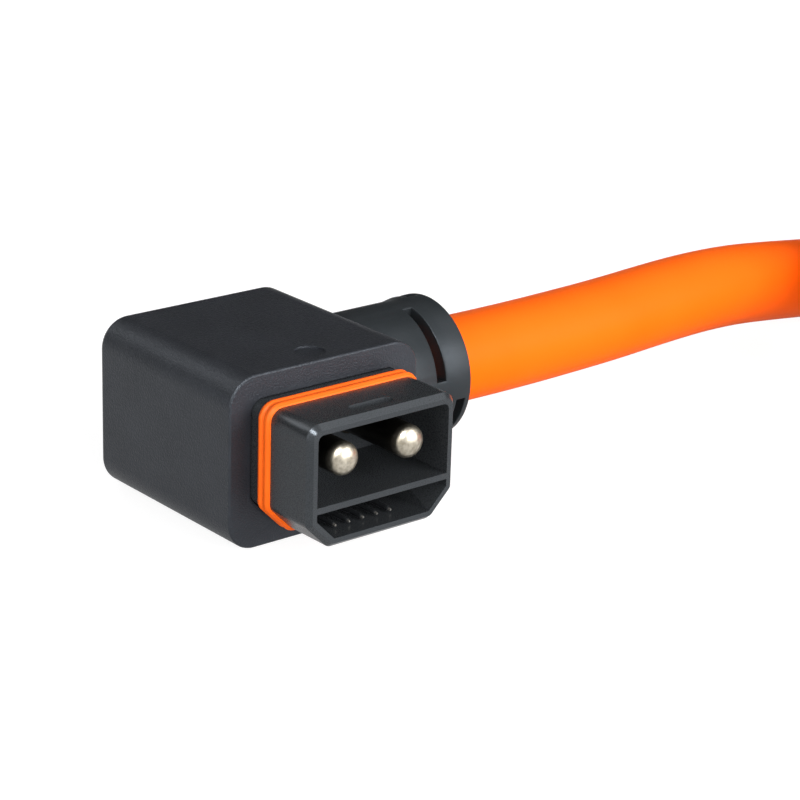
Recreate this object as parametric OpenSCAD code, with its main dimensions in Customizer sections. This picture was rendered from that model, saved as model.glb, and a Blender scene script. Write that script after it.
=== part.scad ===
// Right angle power plug on a free cable, in millimetres.
// X runs along the cable as it leaves the housing, -Y is the direction in which
// the plug mates and Z is up. The origin is the middle of the housing's underside.

/* [Housing] */
// Width of the housing, across the mating face
housing_w = 34.5; // [32:0.1:44]
// Depth of the housing, from its front face to its back
housing_d = 33.7; // [32.1:0.1:44]
// Height of the housing
housing_h = 26.7; // [25:0.1:36]
// Radius of the four long corners of the housing
housing_corner_r = 4.6; // [2:0.1:6]
// Rounding of the edge round the front face
front_edge_r = 0.35; // [0.1:0.05:0.8]
// Rounding of the edge round the back
back_edge_r = 1.2; // [0.2:0.1:1.8]
// Thickness of the back wall
back_wall = 2.7; // [1.5:0.1:3]
// Radius of the round dimple in the top
dimple_r = 2.35; // [1:0.05:4]
// Depth of the dimple
dimple_depth = 0.3; // [0.1:0.05:0.8]
// Distance of the dimple's centre from the front face
dimple_setback = 4; // [3:0.1:8]
// Distance from the front face to the step that the insert seats on
socket_depth = 7.3; // [7:0.1:9]
// Width of that step
seat_step = 0.8; // [0.4:0.1:1.2]
// Play between the insert and its socket, on each side
insert_play = 0.12; // [0.05:0.01:0.3]

/* [Mating insert] */
// Width of the insert
insert_w = 26.8; // [26:0.1:30]
// Height of the insert
insert_h = 19.1; // [18.6:0.1:22]
// Leg of the 45 degree cuts at the two lower corners
insert_cut = 4.05; // [2.5:0.05:4.5]
// Radius of the four corners that those cuts leave
insert_cut_r = 1.5; // [1:0.1:2]
// Radius of the two upper corners
insert_corner_r = 2.1; // [1.6:0.05:3]
// Length of the insert in front of the housing
shroud_length = 13.7; // [13.2:0.1:18]
// Thickness of the shroud's wall
shroud_wall = 1.47; // [1:0.01:1.8]
// Bevel round the mouth, measured across the wall
mouth_bevel = 0.7; // [0.3:0.05:0.9]
// Bevel round the mouth, measured along the shroud
mouth_bevel_length = 0.9; // [0.4:0.05:1.5]
// Radius of the upper corners of the opening
opening_corner_r = 1; // [0.3:0.05:1.4]
// Thickness of the shelf between power pins and signal contacts
shelf_t = 0.95; // [0.6:0.05:1.2]
// Height of the slot below the shelf
signal_slot_h = 4.33; // [4.1:0.01:4.8]
// Depth of the chambers, from the mouth
chamber_depth = 15.2; // [14.5:0.1:16]
// Thickness of the wall behind the chambers
chamber_floor_t = 2.5; // [1.5:0.1:3]
// Width of the latch recess in the top of the shroud
latch_w = 7.8; // [4:0.1:12]
// Length of the latch recess along the shroud
latch_length = 2; // [1.2:0.1:3]
// Depth of the latch recess
latch_depth = 0.35; // [0.1:0.05:0.8]
// Distance from the mouth to the latch recess
latch_setback = 2.3; // [1.5:0.1:4]
// Width of the snap ridges that hold the insert
snap_w = 8; // [4:0.5:12]
// Height of the snap ridges
snap_h = 0.5; // [0.2:0.05:0.8]
// Length of the snap ridges
snap_length = 1.2; // [0.8:0.1:2]
// Distance from the insert's seat to the middle of the snap ridges
snap_setback = 2; // [1.5:0.1:3]
// Thickness of the retainer plate behind the insert
retainer_t = 2.2; // [1.5:0.1:2.6]

/* [Seal] */
// Distance of the seal from the housing's front face
seal_gap = 2; // [1:0.1:4]
// Width of the seal
seal_w = 2.6; // [1.8:0.1:4]
// How far the seal stands proud of the insert
seal_proud = 0.55; // [0.3:0.05:1.2]
// Depth of the groove that the seal sits in
seal_groove = 0.5; // [0.2:0.05:0.7]
// Depth of the furrow between the seal's two lips
furrow_depth = 0.3; // [0.1:0.05:0.5]
// Width of that furrow
furrow_w = 0.5; // [0.2:0.05:0.9]

/* [Power contacts] */
// Distance between the two power pins
pin_pitch = 12; // [10.5:0.1:14]
// Radius of a power pin
pin_r = 2.5; // [2.3:0.05:2.55]
// Height of the power pins above the shelf
pin_lift = 5.65; // [4.5:0.05:6.4]
// Distance from the mouth to the tips of the power pins
pin_setback = 0.4; // [0.2:0.05:4]
// Rounding of a power pin's tip
pin_tip_r = 1.2; // [0.5:0.1:2.2]
// Radius of a power pin's shank, in the wall behind the chambers
pin_shank_r = 2.8; // [2.6:0.05:3]
// Radius of a power pin's shoulder
pin_shoulder_r = 3.4; // [3.1:0.05:3.8]
// Radius of a power pin's crimp barrel
pin_barrel_r = 2.9; // [2.6:0.05:3]
// Length of the crimp barrel
pin_barrel_length = 4.6; // [3:0.1:4.8]
// Radial play of the power pins in the insert
pin_play = 0.06; // [0.02:0.01:0.15]
// Radius of an insulated power core
power_core_r = 2.1; // [1.6:0.05:2.15]
// Radius of a power core's bare strands
power_strand_r = 1.4; // [0.9:0.05:1.5]
// Bend radius of the power cores in the housing
power_bend_r = 4.5; // [3.5:0.1:4.5]
// Gap between the two power cores where they enter the cable
power_core_gap = 0.2; // [0.1:0.05:0.4]

/* [Signal contacts] */
// Distance between neighbouring signal contacts
signal_pitch = 2.54; // [2:0.01:2.6]
// Offset of the row of contacts from the middle of the insert
signal_offset = -1.27; // [-2:0.01:0]
// Height of the signal contacts above the bottom of their slot
signal_lift = 0.48; // [0.35:0.01:1.1]
// Radius of a signal contact's pin
signal_r = 0.32; // [0.2:0.01:0.5]
// Distance from the mouth to the tips of the signal contacts
signal_setback = 2.8; // [1:0.1:6]
// Radius of a signal contact's crimp barrel
signal_barrel_r = 0.75; // [0.6:0.05:0.85]
// Length of that crimp barrel
signal_barrel_length = 5.4; // [4.5:0.1:6]
// Radius of an insulated signal core
signal_core_r = 0.7; // [0.4:0.05:0.75]
// Distance between neighbouring signal cores where they enter the cable
signal_core_pitch = 1.6; // [1.55:0.05:1.9]
// Depth of those signal cores below the cable's axis
signal_core_drop = 2.6; // [2:0.1:3.8]

/* [Cable entry] */
// Radius of the cable
cable_r = 7.15; // [6.8:0.05:7.15]
// Distance of the cable's axis behind the middle of the housing
cable_y = 2.35; // [2.15:0.05:3.2]
// Play round the cable in the housing, on each side
cable_play = 0.25; // [0.1:0.01:0.4]
// Outer radius of the spigot on the housing
spigot_r = 9.4; // [8.9:0.1:9.5]
// Length of the spigot
spigot_length = 7.75; // [6:0.05:8]
// Radius of the pocket for the grommet
pocket_r = 8.3; // [7.8:0.1:8.6]
// Depth of that pocket
pocket_depth = 5.5; // [3:0.1:6]
// Thickness of the grommet's flange
flange_t = 1.2; // [0.8:0.1:1.5]
// Radial thickness of the clamp ring
clamp_t = 0.9; // [0.6:0.1:1.2]
// Length of the clamp ring
clamp_length = 1.6; // [1:0.1:1.8]
// Length of jacket that stands out of the clamp ring
jacket_end = 0.4; // [0.2:0.1:0.6]

/* [Strain relief] */
// Length of the strain relief outside the housing
relief_length = 17.8; // [17.6:0.05:20]
// Outer radius of the strain relief
relief_r = 11.55; // [11.1:0.05:12]
// How much slimmer the strain relief is before the flare at its end
flare_depth = 0.35; // [0.05:0.05:0.5]
// Distance from the start of the flare to the strain relief's end
flare_setback = 5; // [4:0.5:7]
// Length of the flare's slope
flare_slope = 2; // [0.5:0.5:3]
// Play between the strain relief and the spigot
relief_play = 0.12; // [0.05:0.01:0.2]
// Thickness of the web that presses on the grommet
web_t = 1.2; // [0.8:0.1:1.4]
// Thickness of the wall round the slots
cage_wall = 3.2; // [2.4:0.1:3.4]
// Thickness of the lip at the cable's end
lip_t = 0.95; // [0.8:0.05:1.1]
// Rounding of the outer edge at the cable's end
rim_r = 0.15; // [0.1:0.05:0.5]
// Width of a slot
slot_w = 1.75; // [1:0.05:1.8]
// Angle that a slot spans
slot_angle = 72; // [40:1:80]
// Angle of the first slot's middle above the front
slot_middle = 43; // [20:1:60]
// Distance between the two rings of slots
slot_ring_pitch = 3.9; // [3.2:0.05:3.9]

/* [Hidden] */
$fn = 96;

// Overlap of a cut past the face that it opens
past = 0.5;

// Smallest radius of a corner
least_r = 0.2;

// Flats along each rounded corner of the insert's two cuts
cut_steps = 4;

// Planes along Y
front_y = -housing_d / 2;
mouth_y = front_y - shroud_length;
seat_y = front_y + socket_depth;
floor_y = mouth_y + chamber_depth;
floor_back_y = floor_y + chamber_floor_t;
back_y = housing_d / 2;
cavity_y = back_y - back_wall;
retainer_y = seat_y + retainer_t;

// Heights
mid_z = housing_h / 2;
insert_bottom = mid_z - insert_h / 2;
insert_top = mid_z + insert_h / 2;
slot_bottom = insert_bottom + shroud_wall;
shelf_z = slot_bottom + signal_slot_h;
pin_z = shelf_z + shelf_t + pin_lift;
signal_z = slot_bottom + signal_lift;

// Places along X
side_x = housing_w / 2;
cavity_x = insert_w / 2 - seat_step;
spigot_x = side_x + spigot_length;
pocket_x = spigot_x - pocket_depth;
web_x = spigot_x + flange_t;
cage_x = web_x + web_t;
relief_x = side_x + relief_length;
lip_x = relief_x - lip_t;
clamp_x = cavity_x - clamp_length;
jacket_x = clamp_x - jacket_end;

// Slots: the outer ring opens against the lip
slot_ring_x = [lip_x - slot_w - slot_ring_pitch, lip_x - slot_w];

// Contacts and cores
signal_count = 5;
signal_barrel_y = floor_back_y + signal_barrel_length;
power_core_offset = power_core_r + power_core_gap / 2;

// Signal cores are tubes: steps along the bend, sides round it, and how far
// each end runs straight before it turns, as a share of the way
core_steps = 14;
core_sides = 8;
core_lead = 0.6;

// Points of the cable's route, in millimetres
cable_route = [
    [jacket_x, cable_y, mid_z], [20, cable_y, mid_z], [30, cable_y, mid_z], [40, cable_y, 13.1],
    [50, 2.4, 13], [60, 2.6, 13], [75, 3, 13.2], [90, 3.9, 13.5], [100, 4.6, 13.4],
    [110, 5.4, 12.7], [120, 6.1, 11.5], [130, 6.6, 10.2], [140, 7, 9], [150, 7.3, 8],
    [160, 7.4, 7.4], [170, 7.5, 7.15], [180, 7.5, 7.15]
];
cable_sides = 12;

// Coil of the cable's remaining length: two turns, one on the other
coil_x = 180;
coil_y = -62.5;
coil_r = 70;

// Radius of a corner when its section grows by g
function grown_r(r, g) = max(r + g, least_r);

// Points along a corner that turns by 45 degrees, round the centre x, z and from the angle start
function cut_arc(x, z, r, start) =
    [for (i = [0:cut_steps]) let (a = start + 45 * i / cut_steps) [x + r * cos(a), z + r * sin(a)]];

// The insert's section below its upper corners, grown by g: from upper left down and round to upper right
function lower_section(g) =
    let (half = insert_w / 2 + g, low = insert_bottom - g)
    let (high = insert_top + g - grown_r(insert_corner_r, g))
    let (cut = insert_cut + (2 - sqrt(2)) * g, r = grown_r(insert_cut_r, g), t = r * tan(22.5))
    concat(
        [[-half, high]],
        cut_arc(-half + r, low + cut + t, r, 180), cut_arc(-half + cut + t, low + r, r, 225),
        cut_arc(half - cut - t, low + r, r, 270), cut_arc(half - r, low + cut + t, r, 315),
        [[half, high]]
    );

// Section of the insert, grown by g on every side
module insert_outline(g) {
    half = insert_w / 2 + g;
    high = insert_top + g;
    r = grown_r(insert_corner_r, g);
    polygon(lower_section(g));
    translate([-half + r, high - r - past]) square([2 * (half - r), r + past]);
    for (side = [-1, 1])
        translate([side * (half - r), high - r]) circle(r = r);
}

// A section in X and Z, drawn out along Y from y0 to y1
module along_y(y0, y1) {
    translate([0, y1, 0]) rotate([90, 0, 0]) linear_extrude(height = y1 - y0) children();
}

// A round bar along X
module bar_x(x0, x1, r) {
    translate([x0, cable_y, mid_z]) rotate([0, 90, 0]) cylinder(r = r, h = x1 - x0);
}

// A round bar along Y
module bar_y(x, z, y0, y1, r) {
    translate([x, y0, z]) rotate([-90, 0, 0]) cylinder(r = r, h = y1 - y0);
}

module rounded_section(w, h, r) {
    translate([-w / 2 + r, 0]) square([w - 2 * r, h]);
    translate([-w / 2, r]) square([w, h - 2 * r]);
    for (x = [-1, 1], z = [r, h - r])
        translate([x * (w / 2 - r), z]) circle(r = r);
}

// Section of what a rounded edge takes away: its corner is at 0, 0
module edge_section(r) {
    translate([-r, -r]) difference() {
        square(r + past);
        circle(r = r);
    }
}

// What rounding takes from the edge round the back: four straight runs and four corners
module back_edge_cut(r) {
    translate([0, back_y, mid_z]) rotate([-90, 0, 0])
        for (quarter = [0:3]) {
            across = quarter % 2 == 0 ? housing_w : housing_h;
            along = (quarter % 2 == 0 ? housing_h : housing_w) - 2 * housing_corner_r;
            rotate([0, 0, 90 * quarter]) {
                translate([across / 2, along / 2, 0]) rotate([90, 0, 0])
                    linear_extrude(height = along) edge_section(r);
                translate([across / 2 - housing_corner_r, along / 2, 0])
                    rotate_extrude(angle = 90) translate([housing_corner_r, 0]) edge_section(r);
            }
        }
}

module housing_block() {
    difference() {
        along_y(front_y, back_y) rounded_section(housing_w, housing_h, housing_corner_r);
        back_edge_cut(back_edge_r);
        mirror([0, 1, 0]) back_edge_cut(front_edge_r);
    }
}

module housing() {
    color("#2b2c2f") difference() {
        union() {
            housing_block();
            bar_x(side_x - past, spigot_x, spigot_r);
        }
        along_y(front_y - past, seat_y) insert_outline(insert_play);
        along_y(seat_y - past, cavity_y) insert_outline(-seat_step);
        bar_x(cavity_x - past, spigot_x + past, cable_r + cable_play);
        bar_x(jacket_x - past, cavity_x, cable_r + clamp_t + cable_play);
        bar_x(pocket_x, spigot_x + past, pocket_r);
        translate([0, front_y + dimple_setback, housing_h - dimple_depth])
            cylinder(r = dimple_r, h = dimple_depth + past);
        snap_ridges(insert_play);
    }
}

// Snap ridges on the top and bottom of the insert, grown by g for their grooves
module snap_ridges(g) {
    length = snap_length + 2 * g;
    for (z = [insert_bottom - snap_h - g, insert_top - past])
        translate([-snap_w / 2 - g, seat_y - snap_setback - length / 2, z])
            cube([snap_w + 2 * g, length, snap_h + past + g]);
}

// Wedge that bevels one side of the mouth, from point a to point b of the section
module mouth_wedge(a, b) {
    run = b - a;
    length = norm(run);
    translate([a[0], mouth_y, a[1]]) rotate([0, -atan2(run[1], run[0]), 0])
        translate([-past, 0, 0]) rotate([90, 0, 90]) linear_extrude(height = length + 2 * past)
            polygon([
                [mouth_bevel_length, past / 10], [mouth_bevel_length, 0], [0, -mouth_bevel],
                [-past, -mouth_bevel - past * mouth_bevel / mouth_bevel_length], [-past, past / 10]
            ]);
}

// The insert's outside, from its bevelled mouth to its seat
module insert_body() {
    half = insert_w / 2;
    r = insert_corner_r;
    section = lower_section(0);
    difference() {
        along_y(mouth_y, seat_y) polygon(section);
        for (k = [1:len(section) - 1])
            mouth_wedge(section[k], section[k - 1]);
    }
    difference() {
        along_y(mouth_y, seat_y)
            translate([-half + r, insert_top - r - past]) square([2 * (half - r), r + past]);
        mouth_wedge([-half, insert_top], [half, insert_top]);
    }
    for (side = [-1, 1])
        translate([side * (half - r), mouth_y, insert_top - r]) rotate([-90, 0, 0]) {
            cylinder(r1 = r - mouth_bevel, r2 = r, h = mouth_bevel_length);
            translate([0, 0, mouth_bevel_length])
                cylinder(r = r, h = seat_y - mouth_y - mouth_bevel_length);
        }
}

// The two chambers: power above the shelf, signals below
module chambers() {
    half = insert_w / 2 - shroud_wall;
    high = insert_top - shroud_wall;
    r = opening_corner_r;
    cut = insert_cut - (2 - sqrt(2)) * shroud_wall;
    along_y(mouth_y - past, floor_y) {
        translate([-half, shelf_z + shelf_t]) square([2 * half, high - r - shelf_z - shelf_t]);
        translate([-half + r, shelf_z + shelf_t]) square([2 * (half - r), high - shelf_z - shelf_t]);
        for (side = [-1, 1])
            translate([side * (half - r), high - r]) circle(r = r);
        polygon([
            [-half, shelf_z], [-half, slot_bottom + cut], [-half + cut, slot_bottom],
            [half - cut, slot_bottom], [half, slot_bottom + cut], [half, shelf_z]
        ]);
    }
}

// Recess with round ends in the top of the shroud
module latch_recess() {
    r = latch_length / 2;
    y = mouth_y + latch_setback + r;
    z = insert_top - latch_depth;
    translate([-latch_w / 2 + r, y - r, z]) cube([latch_w - latch_length, latch_length, latch_depth + past]);
    for (side = [-1, 1])
        translate([side * (latch_w / 2 - r), y, z]) cylinder(r = r, h = latch_depth + past);
}

module contact_insert() {
    color("#303236") difference() {
        union() {
            insert_body();
            snap_ridges(0);
        }
        chambers();
        latch_recess();
        difference() {
            along_y(front_y - seal_gap - seal_w, front_y - seal_gap) insert_outline(past);
            along_y(front_y - seal_gap - seal_w - past, front_y - seal_gap + past)
                insert_outline(-seal_groove);
        }
        for (side = [-1, 1]) {
            bar_y(side * pin_pitch / 2, pin_z, floor_y - past, floor_back_y + past, pin_shank_r + pin_play);
            bar_y(side * pin_pitch / 2, pin_z, floor_back_y, seat_y + past, pin_shoulder_r + pin_play);
        }
        for (k = [1:signal_count]) {
            bar_y(signal_x(k), signal_z, floor_y - past, floor_back_y + past, signal_r + pin_play);
            bar_y(signal_x(k), signal_z, floor_back_y, seat_y + past, signal_barrel_r + pin_play);
        }
    }
}

module contact_retainer() {
    color("#d9d4c4") difference() {
        along_y(seat_y, retainer_y) insert_outline(-seat_step - insert_play);
        for (side = [-1, 1])
            bar_y(side * pin_pitch / 2, pin_z, seat_y - past, retainer_y + past, pin_barrel_r + pin_play);
        for (k = [1:signal_count])
            bar_y(signal_x(k), signal_z, seat_y - past, retainer_y + past, signal_barrel_r + pin_play);
    }
}

// Seal with two lips and a furrow between them
module seal_ring() {
    back = front_y - seal_gap;
    lip_w = (seal_w - furrow_w) / 2;
    color("#fe702f") difference() {
        union() {
            along_y(back - lip_w, back) insert_outline(seal_proud);
            along_y(back - seal_w + lip_w, back - lip_w) insert_outline(seal_proud - furrow_depth);
            along_y(back - seal_w, back - seal_w + lip_w) insert_outline(seal_proud);
        }
        along_y(back - seal_w - past, back + past) insert_outline(-seal_groove);
    }
}

// A power pin is turned: domed tip, shoulder and crimp barrel
module power_pin(side) {
    tip_y = mouth_y + pin_setback;
    length = seat_y + pin_barrel_length - tip_y;
    shank = floor_y - tip_y;
    shoulder = floor_back_y - tip_y;
    barrel = seat_y - tip_y;
    color("#d3cbb8") translate([side * pin_pitch / 2, tip_y, pin_z]) rotate([-90, 0, 0])
        difference() {
            union() {
                translate([0, 0, pin_tip_r]) cylinder(r = pin_r, h = shank - pin_tip_r + past);
                translate([0, 0, shank]) cylinder(r = pin_shank_r, h = shoulder - shank + past);
                cylinder(r = pin_r - pin_tip_r, h = shoulder);
                rotate_extrude() translate([pin_r - pin_tip_r, pin_tip_r]) intersection() {
                    circle(r = pin_tip_r);
                    translate([0, -pin_tip_r]) square([pin_tip_r, 2 * pin_tip_r]);
                }
                translate([0, 0, shoulder]) cylinder(r = pin_shoulder_r, h = barrel - shoulder);
                translate([0, 0, barrel - past]) cylinder(r = pin_barrel_r, h = length - barrel + past);
            }
            translate([0, 0, barrel]) cylinder(r = power_strand_r + pin_play, h = length - barrel + past);
        }
}

function signal_x(k) = signal_offset + (k - (signal_count + 1) / 2) * signal_pitch;

module signal_contact(k) {
    tip_y = mouth_y + signal_setback;
    taper = 2 * signal_r;
    color("#b9b29e") {
        translate([signal_x(k), tip_y, signal_z]) rotate([-90, 0, 0])
            cylinder(r1 = signal_r / 2, r2 = signal_r, h = taper);
        bar_y(signal_x(k), signal_z, tip_y + taper, floor_back_y, signal_r);
        bar_y(signal_x(k), signal_z, floor_back_y, signal_barrel_y, signal_barrel_r);
    }
}

// A power core runs back from its pin, bends through a right angle and meets the cable
module power_core(side) {
    x = side * pin_pitch / 2;
    end_y = cable_y - side * power_core_offset;
    bend_y = end_y - power_bend_r;
    barrel_y = seat_y + pin_barrel_length;
    color(side < 0 ? "#262626" : "#c4392c") {
        bar_y(x, pin_z, seat_y, barrel_y, power_strand_r);
        bar_y(x, pin_z, barrel_y, bend_y, power_core_r);
        translate([x + power_bend_r, bend_y, pin_z]) rotate([0, 0, 90])
            rotate_extrude(angle = 90) translate([power_bend_r, 0]) circle(r = power_core_r);
        translate([x + power_bend_r, end_y, pin_z]) rotate([0, 90, 0])
            cylinder(r = power_core_r, h = jacket_x - x - power_bend_r);
    }
}

// A point at share t of the curve with the four control points p
function curve_point(p, t) =
    pow(1 - t, 3) * p[0] + 3 * t * pow(1 - t, 2) * p[1] + 3 * t * t * (1 - t) * p[2] + pow(t, 3) * p[3];

function unit(v) = v / norm(v);

// Direction of a route at its point i: it starts along the first given direction and ends along +X
function heading(route, i, first) =
    i == 0 ? first : i == len(route) - 1 ? [1, 0, 0] : unit(route[i + 1] - route[i - 1]);

// One ring of the tube round a route, square to its heading
function tube_ring(route, i, r, sides, first) =
    let (t = heading(route, i, first), u = unit(cross([0, 0, 1], t)), v = cross(t, u))
    [for (k = [0:sides - 1]) route[i] + r * (cos(360 * k / sides) * u + sin(360 * k / sides) * v)];

// A tube along the points of a route, closed at both ends
module tube_along(route, r, sides, first) {
    n = len(route);
    points = [for (i = [0:n - 1]) each tube_ring(route, i, r, sides, first)];
    walls = [for (i = [0:n - 2], k = [0:sides - 1])
        let (m = (k + 1) % sides)
        [i * sides + k, i * sides + m, (i + 1) * sides + m, (i + 1) * sides + k]];
    start_face = [for (k = [sides - 1:-1:0]) k];
    end_face = [for (k = [0:sides - 1]) (n - 1) * sides + k];
    polyhedron(points = points, faces = concat([start_face], walls, [end_face]), convexity = 6);
}

// A signal core runs back from its contact, turns and rises to the cable
module signal_core(k) {
    start = [signal_x(k), signal_barrel_y, signal_z];
    place = (signal_count + 1) / 2 - k;
    end = [jacket_x, cable_y + place * signal_core_pitch, mid_z - signal_core_drop];
    back = end[1] - start[1];
    side = end[0] - start[0];
    bend = [start, start + [0, core_lead * back, 0], end - [core_lead * side, 0, 0], end];
    route = [for (i = [0:core_steps]) curve_point(bend, i / core_steps)];
    color("#e8e4da") tube_along(route, signal_core_r, core_sides, [0, 1, 0]);
}

// Ring crimped on the cable, behind the housing's wall
module cable_clamp() {
    color("#b4b6b8") difference() {
        bar_x(clamp_x, cavity_x, cable_r + clamp_t);
        bar_x(clamp_x - past, cavity_x + past, cable_r);
    }
}

module cable_grommet() {
    color("#3a3a3a") difference() {
        union() {
            bar_x(pocket_x, spigot_x + past, pocket_r);
            bar_x(spigot_x, web_x, spigot_r);
        }
        bar_x(pocket_x - past, web_x + past, cable_r);
    }
}

// Section of the strain relief's outside: distance from the housing, then radius
module relief_section() {
    slim_r = relief_r - flare_depth;
    polygon([
        [0, 0], [slim_r, 0], [slim_r, relief_length - flare_setback],
        [relief_r, relief_length - flare_setback + flare_slope],
        [relief_r, relief_length - rim_r], [relief_r - rim_r, relief_length], [0, relief_length]
    ]);
    translate([relief_r - rim_r, relief_length - rim_r]) circle(r = rim_r);
}

// A slot from x on, with its middle so many degrees above the front
module relief_slot(x, middle) {
    translate([x, cable_y, mid_z]) rotate([270 - middle + slot_angle / 2, 0, 0]) rotate([0, 90, 0])
        rotate_extrude(angle = -slot_angle)
            translate([relief_r - cage_wall - past, 0]) square([cage_wall + 2 * past, slot_w]);
}

module strain_relief() {
    color("#2d3033") difference() {
        translate([side_x, cable_y, mid_z]) rotate([0, 90, 0]) rotate_extrude() relief_section();
        bar_x(side_x - past, web_x, spigot_r + relief_play);
        bar_x(web_x - past, cage_x + past, cable_r + 2 * cable_play);
        bar_x(cage_x, lip_x, relief_r - cage_wall);
        bar_x(lip_x - past, relief_x + past, cable_r + cable_play);
        for (ring = [0, 1], turn = [0, 180])
            relief_slot(slot_ring_x[ring], slot_middle - 90 * ring + turn);
    }
}

module cable() {
    color("#ff8a2a") tube_along(cable_route, cable_r, cable_sides, [1, 0, 0]);
}

module cable_coil() {
    color("#ff8a2a") translate([coil_x, coil_y, 0]) rotate_extrude() {
        for (turn = [0, 1])
            translate([coil_r, cable_r * (1 + 2 * turn)]) circle(r = cable_r);
        translate([coil_r - cable_r, cable_r]) square([2 * cable_r, 2 * cable_r]);
    }
}

housing();
contact_insert();
contact_retainer();
seal_ring();
power_pin(-1);  // power_pin_left
power_pin(1);  // power_pin_right
signal_contact(1);  // signal_contact_1
signal_contact(2);  // signal_contact_2
signal_contact(3);  // signal_contact_3
signal_contact(4);  // signal_contact_4
signal_contact(5);  // signal_contact_5
power_core(-1);  // power_core_left
power_core(1);  // power_core_right
signal_core(1);  // signal_core_1
signal_core(2);  // signal_core_2
signal_core(3);  // signal_core_3
signal_core(4);  // signal_core_4
signal_core(5);  // signal_core_5
cable_clamp();
cable_grommet();
strain_relief();
cable();
cable_coil();
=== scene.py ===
"""Finish, cable, camera and light of a right angle power plug, in metres."""

import math

import bmesh
import bpy
from mathutils import Matrix, Vector


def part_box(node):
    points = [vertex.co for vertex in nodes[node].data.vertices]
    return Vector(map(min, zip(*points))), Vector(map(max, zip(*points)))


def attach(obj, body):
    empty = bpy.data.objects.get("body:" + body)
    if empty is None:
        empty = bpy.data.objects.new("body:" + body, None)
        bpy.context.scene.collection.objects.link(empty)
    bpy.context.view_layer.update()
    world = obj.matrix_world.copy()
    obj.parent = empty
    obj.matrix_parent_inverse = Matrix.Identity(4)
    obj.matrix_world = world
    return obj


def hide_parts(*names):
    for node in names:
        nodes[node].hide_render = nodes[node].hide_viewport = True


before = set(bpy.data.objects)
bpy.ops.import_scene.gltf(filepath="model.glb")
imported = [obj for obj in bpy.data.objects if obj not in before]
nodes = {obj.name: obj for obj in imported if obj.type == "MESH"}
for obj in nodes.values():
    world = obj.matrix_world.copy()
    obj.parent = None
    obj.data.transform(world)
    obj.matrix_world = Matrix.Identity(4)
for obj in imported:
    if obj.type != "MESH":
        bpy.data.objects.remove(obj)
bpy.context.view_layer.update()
MM = 0.001


# Camera

CAMERA_PLACE = (-0.21478, -0.28906, 0.14656)
CAMERA_YAW = math.radians(40.06)
CAMERA_PITCH = math.radians(19.97)
CAMERA_ROLL = math.radians(1.79)
CAMERA_LENS_MM = 113.88
CAMERA_NEAREST = 0.01


def add_camera():
    """The photograph's camera: it looks along +Y, turned right by the yaw and down by the pitch."""
    data = bpy.data.cameras.new("camera")
    data.lens = CAMERA_LENS_MM
    data.clip_start = CAMERA_NEAREST
    camera = bpy.data.objects.new("camera", data)
    turn = (
        Matrix.Rotation(-CAMERA_YAW, 4, "Z")
        @ Matrix.Rotation(math.pi / 2 - CAMERA_PITCH, 4, "X")
        @ Matrix.Rotation(CAMERA_ROLL, 4, "Z")
    )
    camera.matrix_world = Matrix.Translation(CAMERA_PLACE) @ turn
    bpy.context.scene.collection.objects.link(camera)
    bpy.context.scene.camera = camera


add_camera()


# Shader nodes

# Most values of a noise texture lie between these two
NOISE_LOW = 0.3
NOISE_HIGH = 0.7


def add_node(tree, kind, **settings):
    """A shader node with its settings, such as its operation."""
    node = tree.nodes.new(kind)
    for name, value in settings.items():
        setattr(node, name, value)
    return node


def feed(tree, socket, source):
    """Links another node's output to an input, or sets the input to a plain value."""
    if isinstance(source, bpy.types.NodeSocket):
        tree.links.new(source, socket)
    else:
        socket.default_value = source


def maths(tree, operation, *sources):
    """The result of one operation on outputs or plain numbers."""
    node = add_node(tree, "ShaderNodeMath", operation=operation)
    for socket, source in zip(node.inputs, sources):
        feed(tree, socket, source)
    return node.outputs["Value"]


def map_range(tree, value, before, after, interpolation="LINEAR"):
    """The value, taken from the range before to the range after, and kept within it."""
    node = add_node(tree, "ShaderNodeMapRange", interpolation_type=interpolation)
    names = ("Value", "From Min", "From Max", "To Min", "To Max")
    for name, source in zip(names, (value, *before, *after)):
        feed(tree, node.inputs[name], source)
    return node.outputs["Result"]


def place_in_object(tree):
    """The shaded point's place in its object, in metres."""
    return add_node(tree, "ShaderNodeTexCoord").outputs["Object"]


def noise(tree, size, detail, seed=0):
    """Noise whose patches are about size across, in metres."""
    moved = add_node(tree, "ShaderNodeMapping")
    feed(tree, moved.inputs["Vector"], place_in_object(tree))
    feed(tree, moved.inputs["Location"], (seed, 2 * seed, 3 * seed))
    grain = add_node(tree, "ShaderNodeTexNoise")
    feed(tree, grain.inputs["Vector"], moved.outputs["Vector"])
    feed(tree, grain.inputs["Scale"], 1 / size)
    feed(tree, grain.inputs["Detail"], detail)
    return grain.outputs["Fac"]


def vary_roughness(tree, shader, value, middle, swing):
    """Roughness that follows a noise, from the middle less the swing to the middle plus the swing."""
    varied = map_range(tree, value, (NOISE_LOW, NOISE_HIGH), (middle - swing, middle + swing))
    feed(tree, shader.inputs["Roughness"], varied)


def vary_colour(tree, shader, value, dark, light):
    """Base colour that follows a noise from dark to light."""
    ramp = add_node(tree, "ShaderNodeValToRGB")
    stops = ((NOISE_LOW, dark), (NOISE_HIGH, light))
    for element, (position, colour) in zip(ramp.color_ramp.elements, stops):
        element.position = position
        element.color = (*colour, 1)
    feed(tree, ramp.inputs["Fac"], value)
    feed(tree, shader.inputs["Base Color"], ramp.outputs["Color"])


def bump(tree, shader, value, height):
    """Bumps that follow a noise, of a height in metres."""
    relief = add_node(tree, "ShaderNodeBump")
    feed(tree, relief.inputs["Distance"], height)
    feed(tree, relief.inputs["Height"], value)
    feed(tree, shader.inputs["Normal"], relief.outputs["Normal"])


# Materials: the sizes of their grain and bumps, and the places of the painted shade on the metals, are
# in millimetres

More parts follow.
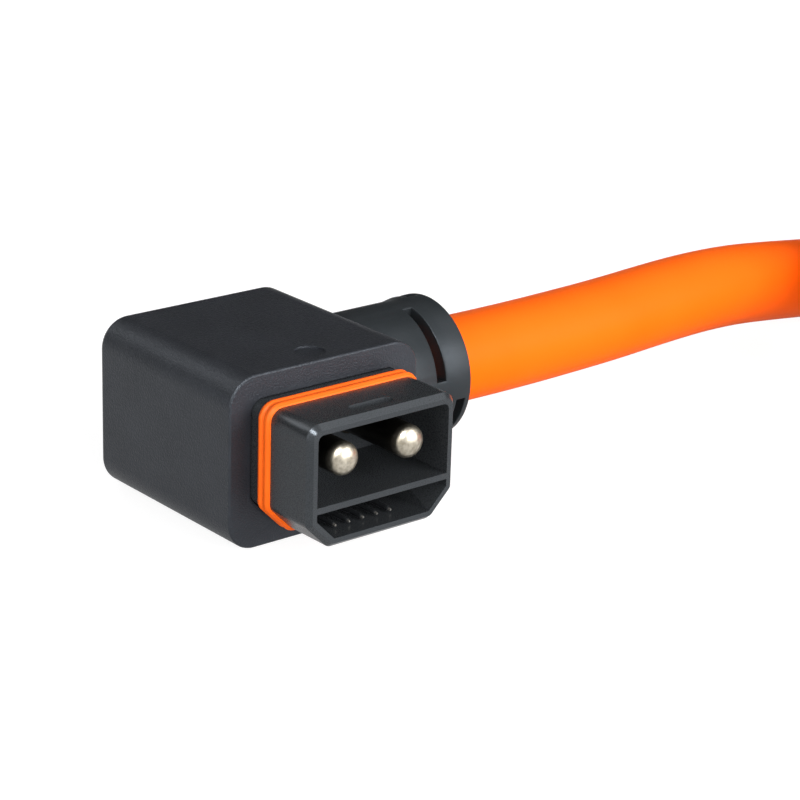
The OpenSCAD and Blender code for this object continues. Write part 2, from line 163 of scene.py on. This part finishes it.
PLAIN_GLOSS = (1, 1, 1, 1)
COOL_GLOSS = (0.81, 0.9, 1, 1)
PLASTIC_ROUGHNESS_SWING = 0.06
METAL_ROUGHNESS_SWING = 0.08
# How fine the noises are broken up, from 0
GRAIN_DETAIL = 3
SPOT_DETAIL = 4
BLOTCH_DETAIL = 2
# Where the blotches' noises begin, so that they don't follow the grain
PLASTIC_BLOTCH_SEED = 4
METAL_BLOTCH_SEED = 2
# The size of the blotches on metal, in grains
METAL_BLOTCH_GRAINS = 6


def new_material(name):
    """A material and its Principled shader."""
    material = bpy.data.materials.new(name)
    material.use_nodes = True
    return material, material.node_tree.nodes["Principled BSDF"]


def moulded(
    name, dark, light, roughness, grain, height, specular=0.5, blotch=8, gloss_colour=PLAIN_GLOSS
):
    """Moulded plastic or rubber: a fine grain with bumps, soft blotches and slightly uneven gloss."""
    material, shader = new_material(name)
    tree = material.node_tree
    fine = noise(tree, grain * MM, GRAIN_DETAIL)
    soft = noise(tree, blotch * MM, BLOTCH_DETAIL, PLASTIC_BLOTCH_SEED)
    vary_colour(tree, shader, soft, dark, light)
    vary_roughness(tree, shader, fine, roughness, PLASTIC_ROUGHNESS_SWING)
    feed(tree, shader.inputs["Specular IOR Level"], specular)
    feed(tree, shader.inputs["Specular Tint"], gloss_colour)
    bump(tree, shader, fine, height * MM)
    return material


def paint_shade_behind_tip(tree, shader, start, end, colour, matt):
    """Paints shade on metal: goes over to a dark colour from one Y place to another, where the chamber
    shades it; matt painted shade is neither metallic nor glossy.
    """
    split = add_node(tree, "ShaderNodeSeparateXYZ")
    feed(tree, split.inputs["Vector"], place_in_object(tree))
    share = map_range(tree, split.outputs["Y"], (start * MM, end * MM), (0, 1))
    mixed = add_node(tree, "ShaderNodeMixRGB")
    feed(tree, mixed.inputs["Fac"], share)
    feed(tree, mixed.inputs["Color1"], shader.inputs["Base Color"].links[0].from_socket)
    feed(tree, mixed.inputs["Color2"], (*colour, 1))
    feed(tree, shader.inputs["Base Color"], mixed.outputs["Color"])
    if matt:
        feed(tree, shader.inputs["Specular IOR Level"], 0.0)
        feed(tree, shader.inputs["Metallic"], map_range(tree, share, (0, 1), (1, 0)))


def metal(name, dark, light, roughness, grain, height, painted_shade_behind_tip=None):
    """Plated or bare metal with small spots, and with the painted shade that the last argument
    describes.
    """
    material, shader = new_material(name)
    tree = material.node_tree
    spots = noise(tree, grain * MM, SPOT_DETAIL)
    soft = noise(tree, METAL_BLOTCH_GRAINS * grain * MM, BLOTCH_DETAIL, METAL_BLOTCH_SEED)
    vary_colour(tree, shader, soft, dark, light)
    feed(tree, shader.inputs["Metallic"], 1.0)
    # Painted shade: the shaft behind the tip turns dark where the chamber shades it
    if painted_shade_behind_tip:
        paint_shade_behind_tip(tree, shader, **painted_shade_behind_tip)
    vary_roughness(tree, shader, spots, roughness, METAL_ROUGHNESS_SWING)
    bump(tree, shader, spots, height * MM)
    return material


HOUSING = moulded(
    "housing_grain", (0.0155, 0.0168, 0.0205), (0.0205, 0.0222, 0.027), 0.4,
    grain=0.28, height=0.1, specular=0.38, gloss_colour=COOL_GLOSS,
)
INSERT = moulded(
    "insert_satin", (0.0245, 0.027, 0.0295), (0.029, 0.0315, 0.034), 0.28,
    grain=0.16, height=0.001, specular=0.31, gloss_colour=COOL_GLOSS,
)
RELIEF = moulded(
    "relief_matt", (0.0125, 0.0152, 0.0168), (0.018, 0.0207, 0.0228), 0.44,
    grain=0.25, height=0.018, specular=0.3, gloss_colour=COOL_GLOSS,
)
SEAL = moulded(
    "seal_silicone", (0.95, 0.13, 0.007), (1.0, 0.15, 0.01), 0.5,
    grain=0.3, height=0.006, specular=0.15,
)
JACKET = moulded(
    "cable_jacket", (0.97, 0.124, 0.003), (1.0, 0.138, 0.005), 0.5,
    grain=0.5, height=0.01, specular=0.06, blotch=20,
)
IVORY = moulded(
    "retainer_ivory", (0.62, 0.58, 0.48), (0.7, 0.66, 0.56), 0.5, grain=0.3, height=0.01
)
BLACK_RUBBER = moulded(
    "grommet_rubber", (0.02, 0.02, 0.02), (0.03, 0.03, 0.03), 0.7, grain=0.2, height=0.02
)
CORE_BLACK = moulded(
    "core_black", (0.015, 0.015, 0.015), (0.025, 0.025, 0.025), 0.4, grain=0.4, height=0.01
)
CORE_RED = moulded("core_red", (0.5, 0.02, 0.015), (0.6, 0.03, 0.02), 0.4, grain=0.4, height=0.01)
CORE_WHITE = moulded("core_white", (0.72, 0.7, 0.64), (0.8, 0.78, 0.72), 0.4, grain=0.4, height=0.01)
# Painted shade: a pin's shaft goes dark behind its domed tip, standing in for the shade inside the
# chamber
SILVER = metal(
    "silver_plate", (0.38, 0.34, 0.265), (0.66, 0.61, 0.51), 0.38, grain=0.1, height=0.002,
    painted_shade_behind_tip={"start": -29, "end": -27.6, "colour": (0.09, 0.08, 0.065), "matt": False},
)
# Painted shade: a signal contact's shaft turns matt dark grey behind its tip, standing in for the shade
# in its slot
TIN = metal(
    "dull_tin", (0.2, 0.195, 0.18), (0.26, 0.25, 0.23), 0.6, grain=0.2, height=0.001,
    painted_shade_behind_tip={"start": -27.6, "end": -27.3, "colour": (0.02, 0.022, 0.024), "matt": True},
)
STEEL = metal("clamp_steel", (0.5, 0.5, 0.52), (0.6, 0.6, 0.62), 0.35, grain=0.2, height=0.005)
COPPER = metal("copper_strands", (0.7, 0.3, 0.17), (0.8, 0.38, 0.22), 0.3, grain=0.1, height=0.01)

NODE_FINISHES = {
    "housing": HOUSING,
    "contact_insert": INSERT,
    "contact_retainer": IVORY,
    "seal_ring": SEAL,
    "strain_relief": RELIEF,
    "cable_clamp": STEEL,
    "cable_grommet": BLACK_RUBBER,
    "power_core_left": CORE_BLACK,
    "power_core_right": CORE_RED,
    **{f"power_pin_{side}": SILVER for side in ("left", "right")},
    **{f"signal_contact_{k}": TIN for k in range(1, 6)},
    **{f"signal_core_{k}": CORE_WHITE for k in range(1, 6)},
    "cable": JACKET,
    "cable_coil": JACKET,
}


def dress(obj, material):
    """Gives an object one material, in place of those it has."""
    obj.data.materials.clear()
    obj.data.materials.append(material)


for name, material in NODE_FINISHES.items():
    dress(nodes[name], material)


# Meshes

def bridge(work, rings, closed=False):
    """Faces between each ring of points and the next, and from the last to the first if closed."""
    following = rings[1:] + rings[:1] if closed else rings[1:]
    for a, b in zip(rings, following):
        for j in range(len(a)):
            k = (j + 1) % len(a)
            work.faces.new((a[j], a[k], b[k], b[j]))


def round_ring(work, centre, radius, sides, across, up):
    """Points on a circle between two directions of length one."""
    ring = []
    for j in range(sides):
        angle = 2 * math.pi * j / sides
        away = radius * math.cos(angle) * across + radius * math.sin(angle) * up
        ring.append(work.verts.new(centre + away))
    return ring


def finish_mesh(name, work, material):
    """An object of the root body from a bmesh, smooth shaded."""
    bmesh.ops.recalc_face_normals(work, faces=work.faces)
    for face in work.faces:
        face.smooth = True
    mesh = bpy.data.meshes.new(name)
    work.to_mesh(mesh)
    work.free()
    obj = bpy.data.objects.new(name, mesh)
    bpy.context.scene.collection.objects.link(obj)
    dress(obj, material)
    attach(obj, "root")
    return obj


# Cable

CABLE_R = 7.15 * MM
CABLE_SIDES = 40
CABLE_STEP = 2.5 * MM
# The route's points are the part's own, in millimetres
CABLE_ROUTE_MM = [
    (10.6, 2.35, 13.35), (20, 2.35, 13.35), (30, 2.35, 13.35), (40, 2.35, 13.1),
    (50, 2.4, 13), (60, 2.6, 13), (75, 3, 13.2), (90, 3.9, 13.5), (100, 4.6, 13.4),
    (110, 5.4, 12.7), (120, 6.1, 11.5), (130, 6.6, 10.2), (140, 7, 9), (150, 7.3, 8),
    (160, 7.4, 7.4), (170, 7.5, 7.15), (180, 7.5, 7.15),
]
COIL_CENTRE_MM = (180, -62.5)
COIL_R_MM = 70
COIL_TURNS = 1.72
COIL_POINTS_PER_TURN = 36
# The second turn climbs onto the first between these angles, in degrees
COIL_CLIMB = (270, 323)

# At the cable's end the jacket stops short, and the cores that stand out of it have bare tips
STRIPPED = 14 * MM
STRIPPED_TIP = 4 * MM
POWER_CORE_R = 2.1 * MM
SIGNAL_CORE_R = 0.7 * MM
STRANDS_SHARE = 0.66
CORE_SIDES = 20
STRANDS_SIDES = 16
SIGNAL_CORES = 5
# Where the cores lie in the cable, sideways and upwards from its middle, in millimetres
POWER_CORE_PLACES_MM = {"black": (-2.2, 1.6), "red": (2.2, 1.6)}
SIGNAL_CORE_PITCH_MM = 1.6
SIGNAL_CORE_HEIGHT_MM = -2.6


def coil_point(angle):
    """A point of the coil, in millimetres, at an angle in degrees from where it begins."""
    start, end = COIL_CLIMB
    share = min(max((angle - start) / (end - start), 0), 1)
    # From one radius above the surface to three
    level = CABLE_R / MM * (2 - math.cos(math.pi * share))
    turned = math.radians(angle)
    return (
        COIL_CENTRE_MM[0] + COIL_R_MM * math.sin(turned),
        COIL_CENTRE_MM[1] + COIL_R_MM * math.cos(turned),
        level,
    )


def cable_points():
    """The points that the cable's middle line passes through, in metres."""
    count = round(COIL_TURNS * COIL_POINTS_PER_TURN)
    coil = [coil_point(360 * COIL_TURNS * k / count) for k in range(1, count + 1)]
    return [Vector(p) * MM for p in CABLE_ROUTE_MM + coil]


def smooth_line(points, step):
    """A smooth curve through the points, as points about one step apart."""
    chords = [(b - a).length for a, b in zip(points, points[1:])]
    slopes = [(points[1] - points[0]) / chords[0]]
    for k in range(1, len(points) - 1):
        slopes.append((points[k + 1] - points[k - 1]) / (chords[k] + chords[k - 1]))
    slopes.append((points[-1] - points[-2]) / chords[-1])
    line = [points[0]]
    for k, chord in enumerate(chords):
        parts = max(1, round(chord / step))
        for j in range(1, parts + 1):
            t = j / parts
            line.append(
                (2 * t**3 - 3 * t**2 + 1) * points[k]
                + (t**3 - 2 * t**2 + t) * chord * slopes[k]
                + (3 * t**2 - 2 * t**3) * points[k + 1]
                + (t**3 - t**2) * chord * slopes[k + 1]
            )
    return line


def split_line(line, length):
    """The line without its last stretch of that length, and that stretch."""
    left = length
    k = len(line) - 1
    while k > 0 and left > 0:
        left -= (line[k] - line[k - 1]).length
        k -= 1
    return line[: k + 1], line[k:]


def frames_along(line):
    """At each point of a line that never stands upright: the point, sideways and upwards."""
    made = []
    for k, point in enumerate(line):
        along = line[min(k + 1, len(line) - 1)] - line[max(k - 1, 0)]
        sideways = Vector((0, 0, 1)).cross(along).normalized()
        made.append((point, sideways, along.cross(sideways).normalized()))
    return made


def tube(name, line, radius, sides, material, offset=(0, 0)):
    """A round tube along a line, closed at both ends, beside the line by an offset in metres."""
    work = bmesh.new()
    rings = []
    for point, sideways, upwards in frames_along(line):
        centre = point + offset[0] * sideways + offset[1] * upwards
        rings.append(round_ring(work, centre, radius, sides, sideways, upwards))
    bridge(work, rings)
    work.faces.new(rings[0])
    work.faces.new(rings[-1])
    return finish_mesh(name, work, material)


def add_core(colour_name, material, radius, place_mm):
    """A core that stands out of the cut jacket, and the strands at its bare tip."""
    name = f"end_core_{colour_name}"
    place = (place_mm[0] * MM, place_mm[1] * MM)
    return [
        tube(name, insulation_line, radius, CORE_SIDES, material, place),
        tube(f"{name}_strands", bare_line, radius * STRANDS_SHARE, STRANDS_SIDES, COPPER, place),
    ]


def add_end_cores():
    """The power cores and signal cores at the cable's end."""
    places = POWER_CORE_PLACES_MM
    made = add_core("black", CORE_BLACK, POWER_CORE_R, places["black"])
    made += add_core("red", CORE_RED, POWER_CORE_R, places["red"])
    for k in range(SIGNAL_CORES):
        place = ((k - (SIGNAL_CORES - 1) / 2) * SIGNAL_CORE_PITCH_MM, SIGNAL_CORE_HEIGHT_MM)
        made += add_core(f"white_{k + 1}", CORE_WHITE, SIGNAL_CORE_R, place)
    return made


cable_line = smooth_line(cable_points(), CABLE_STEP)
for point in cable_line:
    point.z = max(point.z, CABLE_R)
jacket_line, stripped_line = split_line(cable_line, STRIPPED)
insulation_line, bare_line = split_line(stripped_line, STRIPPED_TIP)

cable = tube("cable_run", jacket_line, CABLE_R, CABLE_SIDES, JACKET)
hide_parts("cable", "cable_coil")
add_end_cores()


# Seal: a closed ring swept round the insert, with two round lips and a furrow between them

SEAL_PROUD = 0.55 * MM
SEAL_SUNK = 0.5 * MM
SEAL_LIP_R = 0.6 * MM
SEAL_FURROW = 0.26 * MM
SEAL_STEPS = 24
INSERT_CUT = 4.05 * MM
INSERT_CUT_R = 1.5 * MM
INSERT_CORNER_R = 2.1 * MM
# Degrees that the outline turns by at either end of a cut corner, and at each step round a corner
CUT_TURN = 45
CORNER_STEP = 7.5


def insert_section(half, low, high, grow):
    """The insert's outline in X and Z, grown on every side, counterclockwise seen along +Y."""
    r, upper_r = INSERT_CUT_R + grow, INSERT_CORNER_R + grow
    half, low, high = half + grow, low - grow, high + grow
    cut = INSERT_CUT + (2 - math.sqrt(2)) * grow
    # From where two lines of the outline would meet to where the rounding between them begins
    t = r * math.tan(math.radians(CUT_TURN / 2))
    corners = [
        (half - cut - t, low + r, r, 270, CUT_TURN),
        (half - r, low + cut + t, r, 315, CUT_TURN),
        (half - upper_r, high - upper_r, upper_r, 0, 90),
        (-half + upper_r, high - upper_r, upper_r, 90, 90),
        (-half + r, low + cut + t, r, 180, CUT_TURN),
        (-half + cut + t, low + r, r, 225, CUT_TURN),
    ]
    outline = []
    for x, z, radius, start, turn in corners:
        steps = round(turn / CORNER_STEP)
        for k in range(steps + 1):
            angle = math.radians(start + turn * k / steps)
            outline.append((x + radius * math.cos(angle), z + radius * math.sin(angle)))
    return outline


def seal_profile(width):
    """The seal's section, as places across its width and how far it stands proud there."""
    middle = width / 2 - SEAL_LIP_R
    profile = []
    for k in range(SEAL_STEPS + 1):
        y = width * (k / SEAL_STEPS - 0.5)
        off = (abs(y) - middle) / SEAL_LIP_R
        drop = SEAL_LIP_R * (1 - math.sqrt(max(1 - off * off, 0)))
        profile.append((y, SEAL_PROUD - min(drop, SEAL_FURROW)))
    return profile + [(width / 2, -SEAL_SUNK), (-width / 2, -SEAL_SUNK)]


def add_seal():
    """The seal, in the place of its solid."""
    low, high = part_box("seal_ring")
    half = (high[0] - low[0]) / 2 - SEAL_PROUD
    middle = (low[1] + high[1]) / 2
    work = bmesh.new()
    rings = []
    for y, grow in seal_profile(high[1] - low[1]):
        section = insert_section(half, low[2] + SEAL_PROUD, high[2] - SEAL_PROUD, grow)
        rings.append([work.verts.new((x, middle + y, z)) for x, z in section])
    bridge(work, rings, closed=True)
    seal = finish_mesh("seal_lips", work, SEAL)
    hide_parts("seal_ring")


add_seal()


# Power pins: turned, with a domed tip

PIN_R = 2.5 * MM
PIN_SHANK_R = 2.8 * MM
PIN_SHOULDER_R = 3.4 * MM
PIN_BARREL_R = 2.9 * MM
PIN_BORE_R = 1.46 * MM
PIN_DOME = 1.6 * MM
PIN_DOME_STEPS = 20
PIN_SIDES = 72
PIN_SHARP_ANGLE = math.radians(40)
CHAMBER_DEPTH = 15.2 * MM
CHAMBER_WALL = 2.5 * MM
MOUTH_TO_SEAT = 21 * MM


def pin_profile(tip_y, end_y, mouth_y):
    """Turned outline of a power pin as (y, radius), from its tip to the bottom of its crimp bore."""
    dome = []
    for k in range(1, PIN_DOME_STEPS + 1):
        share = math.sin(math.pi / 2 * k / PIN_DOME_STEPS)
        dome.append((tip_y + PIN_DOME * (1 - math.sqrt(max(1 - share**2, 0))), PIN_R * share))
    floor_y = mouth_y + CHAMBER_DEPTH
    wall_y = floor_y + CHAMBER_WALL
    seat_y = mouth_y + MOUTH_TO_SEAT
    return dome + [
        (floor_y, PIN_R), (floor_y, PIN_SHANK_R), (wall_y, PIN_SHANK_R), (wall_y, PIN_SHOULDER_R),
        (seat_y, PIN_SHOULDER_R), (seat_y, PIN_BARREL_R), (end_y, PIN_BARREL_R),
        (end_y, PIN_BORE_R), (seat_y, PIN_BORE_R),
    ]


def sharpen_edges(obj, angle):
    """Marks edges sharper than the angle, so that smooth shading stops there."""
    work = bmesh.new()
    work.from_mesh(obj.data)
    for edge in work.edges:
        if edge.is_manifold and edge.calc_face_angle() > angle:
            edge.smooth = False
    work.to_mesh(obj.data)
    work.free()


def add_pin(side):
    """A turned pin, in the place of its solid."""
    low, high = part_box(f"power_pin_{side}")
    x, z = (low[0] + high[0]) / 2, (low[2] + high[2]) / 2
    mouth_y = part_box("contact_insert")[0][1]
    work = bmesh.new()
    rings = [
        round_ring(work, Vector((x, y, z)), r, PIN_SIDES, Vector((1, 0, 0)), Vector((0, 0, 1)))
        for y, r in pin_profile(low[1], high[1], mouth_y)
    ]
    bridge(work, rings)
    tip = work.verts.new((x, low[1], z))
    for j in range(PIN_SIDES):
        work.faces.new((tip, rings[0][(j + 1) % PIN_SIDES], rings[0][j]))
    work.faces.new(rings[-1])
    pin = finish_mesh(f"power_pin_{side}_turned", work, SILVER)
    sharpen_edges(pin, PIN_SHARP_ANGLE)
    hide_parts(f"power_pin_{side}")


add_pin("left")
add_pin("right")


# Edges of the mouldings

EDGE_SEGMENTS = 3
EDGE_ANGLE = math.radians(35)
EDGE_WELD = 0.001 * MM


def soften_edges(node, width):
    """Rounds the sharp edges of a solid by a width in metres."""
    obj = nodes[node]
    weld = obj.modifiers.new("weld", "WELD")
    weld.merge_threshold = EDGE_WELD
    edge = obj.modifiers.new("edge", "BEVEL")
    edge.width = width
    edge.segments = EDGE_SEGMENTS
    edge.limit_method = "ANGLE"
    edge.angle_limit = EDGE_ANGLE
    edge.harden_normals = True
    edge.use_clamp_overlap = True


soften_edges("housing", 0.1 * MM)
soften_edges("contact_insert", 0.14 * MM)
soften_edges("strain_relief", 0.12 * MM)


# Floor and surroundings

FLOOR_HALF = 4.0
FLOOR_GREY = 0.3
# White that the camera sees on the floor near the plug and far from it, over these distances
FLOOR_SEEN = (0.87, 1.0)
FLOOR_DISTANCES = (0.25, 0.9)
# White that gloss sees on the floor
FLOOR_GLOSS = 0.52

# Light that the surroundings give to matt surfaces, from every side
AMBIENT = 0.26
# What gloss sees of the surroundings: white at the horizon, dim above it, lighter in front and overhead
GLOSS_HORIZON = 1.0
GLOSS_DIM = 0.03
GLOSS_FRONT = 0.3
GLOSS_OVERHEAD = 0.4
# Heights of a direction, as its Z, between which the horizon fades and the overhead light begins
HORIZON_HEIGHTS = (0.0, 0.06)
OVERHEAD_HEIGHTS = (0.55, 0.8)
# A direction's Y, between which the light in front fades
FRONT_DEPTHS = (-0.75, -0.1)


def directly_seen(tree, path):
    """1 for rays from the camera and through glass, and otherwise 0."""
    return maths(tree, "MAXIMUM", path.outputs["Is Camera Ray"], path.outputs["Is Transmission Ray"])


def floor_paper():
    """Matt grey paper that looks white to the camera but throws little light back on the plug."""
    material, shader = new_material("floor_paper")
    tree = material.node_tree
    feed(tree, shader.inputs["Base Color"], (FLOOR_GREY, FLOOR_GREY, FLOOR_GREY, 1))
    feed(tree, shader.inputs["Roughness"], 1.0)
    feed(tree, shader.inputs["Specular IOR Level"], 0.0)
    path = add_node(tree, "ShaderNodeLightPath")
    distance = add_node(tree, "ShaderNodeVectorMath", operation="LENGTH")
    feed(tree, distance.inputs[0], place_in_object(tree))
    white = map_range(tree, distance.outputs["Value"], FLOOR_DISTANCES, FLOOR_SEEN)
    direct = maths(tree, "MULTIPLY", directly_seen(tree, path), white)
    mirrored = maths(tree, "MULTIPLY", path.outputs["Is Glossy Ray"], FLOOR_GLOSS)
    glow = add_node(tree, "ShaderNodeEmission")
    feed(tree, glow.inputs["Strength"], maths(tree, "ADD", direct, mirrored))
    both = add_node(tree, "ShaderNodeAddShader")
    feed(tree, both.inputs[0], shader.outputs["BSDF"])
    feed(tree, both.inputs[1], glow.outputs["Emission"])
    feed(tree, tree.nodes["Material Output"].inputs["Surface"], both.outputs["Shader"])
    return material


def add_floor():
    """The surface that the plug lies on."""
    work = bmesh.new()
    corners = ((-1, -1), (1, -1), (1, 1), (-1, 1))
    work.faces.new([work.verts.new((FLOOR_HALF * x, FLOOR_HALF * y, 0)) for x, y in corners])
    mesh = bpy.data.meshes.new("floor")
    work.to_mesh(mesh)
    work.free()
    floor = bpy.data.objects.new("floor", mesh)
    bpy.context.scene.collection.objects.link(floor)
    dress(floor, floor_paper())


def add_world():
    """White where the camera looks, even light for matt surfaces, and for gloss a white horizon."""
    world = bpy.data.worlds.new("world")
    world.use_nodes = True
    bpy.context.scene.world = world
    tree = world.node_tree
    background = tree.nodes["Background"]
    feed(tree, background.inputs["Color"], (1, 1, 1, 1))
    path = add_node(tree, "ShaderNodeLightPath")
    split = add_node(tree, "ShaderNodeSeparateXYZ")
    feed(tree, split.inputs["Vector"], add_node(tree, "ShaderNodeTexCoord").outputs["Generated"])
    smooth = "SMOOTHSTEP"
    horizon = map_range(tree, split.outputs["Z"], HORIZON_HEIGHTS, (GLOSS_HORIZON, 0.0), smooth)
    front = map_range(tree, split.outputs["Y"], FRONT_DEPTHS, (GLOSS_FRONT, GLOSS_DIM), smooth)
    overhead = map_range(tree, split.outputs["Z"], OVERHEAD_HEIGHTS, (0.0, GLOSS_OVERHEAD), smooth)
    brightest = maths(tree, "MAXIMUM", maths(tree, "MAXIMUM", horizon, front), overhead)
    beyond_ambient = maths(tree, "SUBTRACT", brightest, AMBIENT)
    lit = maths(tree, "MULTIPLY_ADD", path.outputs["Is Glossy Ray"], beyond_ambient, AMBIENT)
    feed(tree, background.inputs["Strength"], maths(tree, "MAXIMUM", directly_seen(tree, path), lit))


add_floor()
add_world()


# Lamps

PLUG_MIDDLE = (0, 0, 0.013)
CABLE_MIDDLE = (0.08, 0, 0.013)


def add_lamp(name, place, size, watts, matt=True, gloss=True, target=PLUG_MIDDLE):
    """A square lamp that shines on the target, for matt surfaces, for gloss or for both."""
    data = bpy.data.lights.new(name, "AREA")
    data.shape = "SQUARE"
    data.size = size
    data.energy = watts
    lamp = bpy.data.objects.new(name, data)
    lamp.location = place
    away = Vector(place) - Vector(target)
    lamp.rotation_euler = away.to_track_quat("Z", "Y").to_euler()
    lamp.visible_diffuse = matt
    lamp.visible_glossy = gloss
    bpy.context.scene.collection.objects.link(lamp)


add_lamp("key", (0.42, -0.9, 0.42), 0.7, 14.5)
add_lamp("front", (-0.3, -1.05, 0.1), 0.5, 14.5, gloss=False)
add_lamp("side", (-1.0, -0.1, 0.22), 0.7, 5.6)
add_lamp("rear", (0.4, 0.95, 0.08), 0.6, 9, gloss=False, target=CABLE_MIDDLE)
add_lamp("back", (-0.4, 0.75, 0.7), 0.5, 2.6, matt=False)
add_lamp("corner", (-0.53, -0.52, 0.82), 0.32, 18, matt=False)
add_lamp("bevel", (0.67, -0.17, 0.86), 0.4, 1, matt=False)

bpy.context.scene.view_settings.view_transform = "Standard"
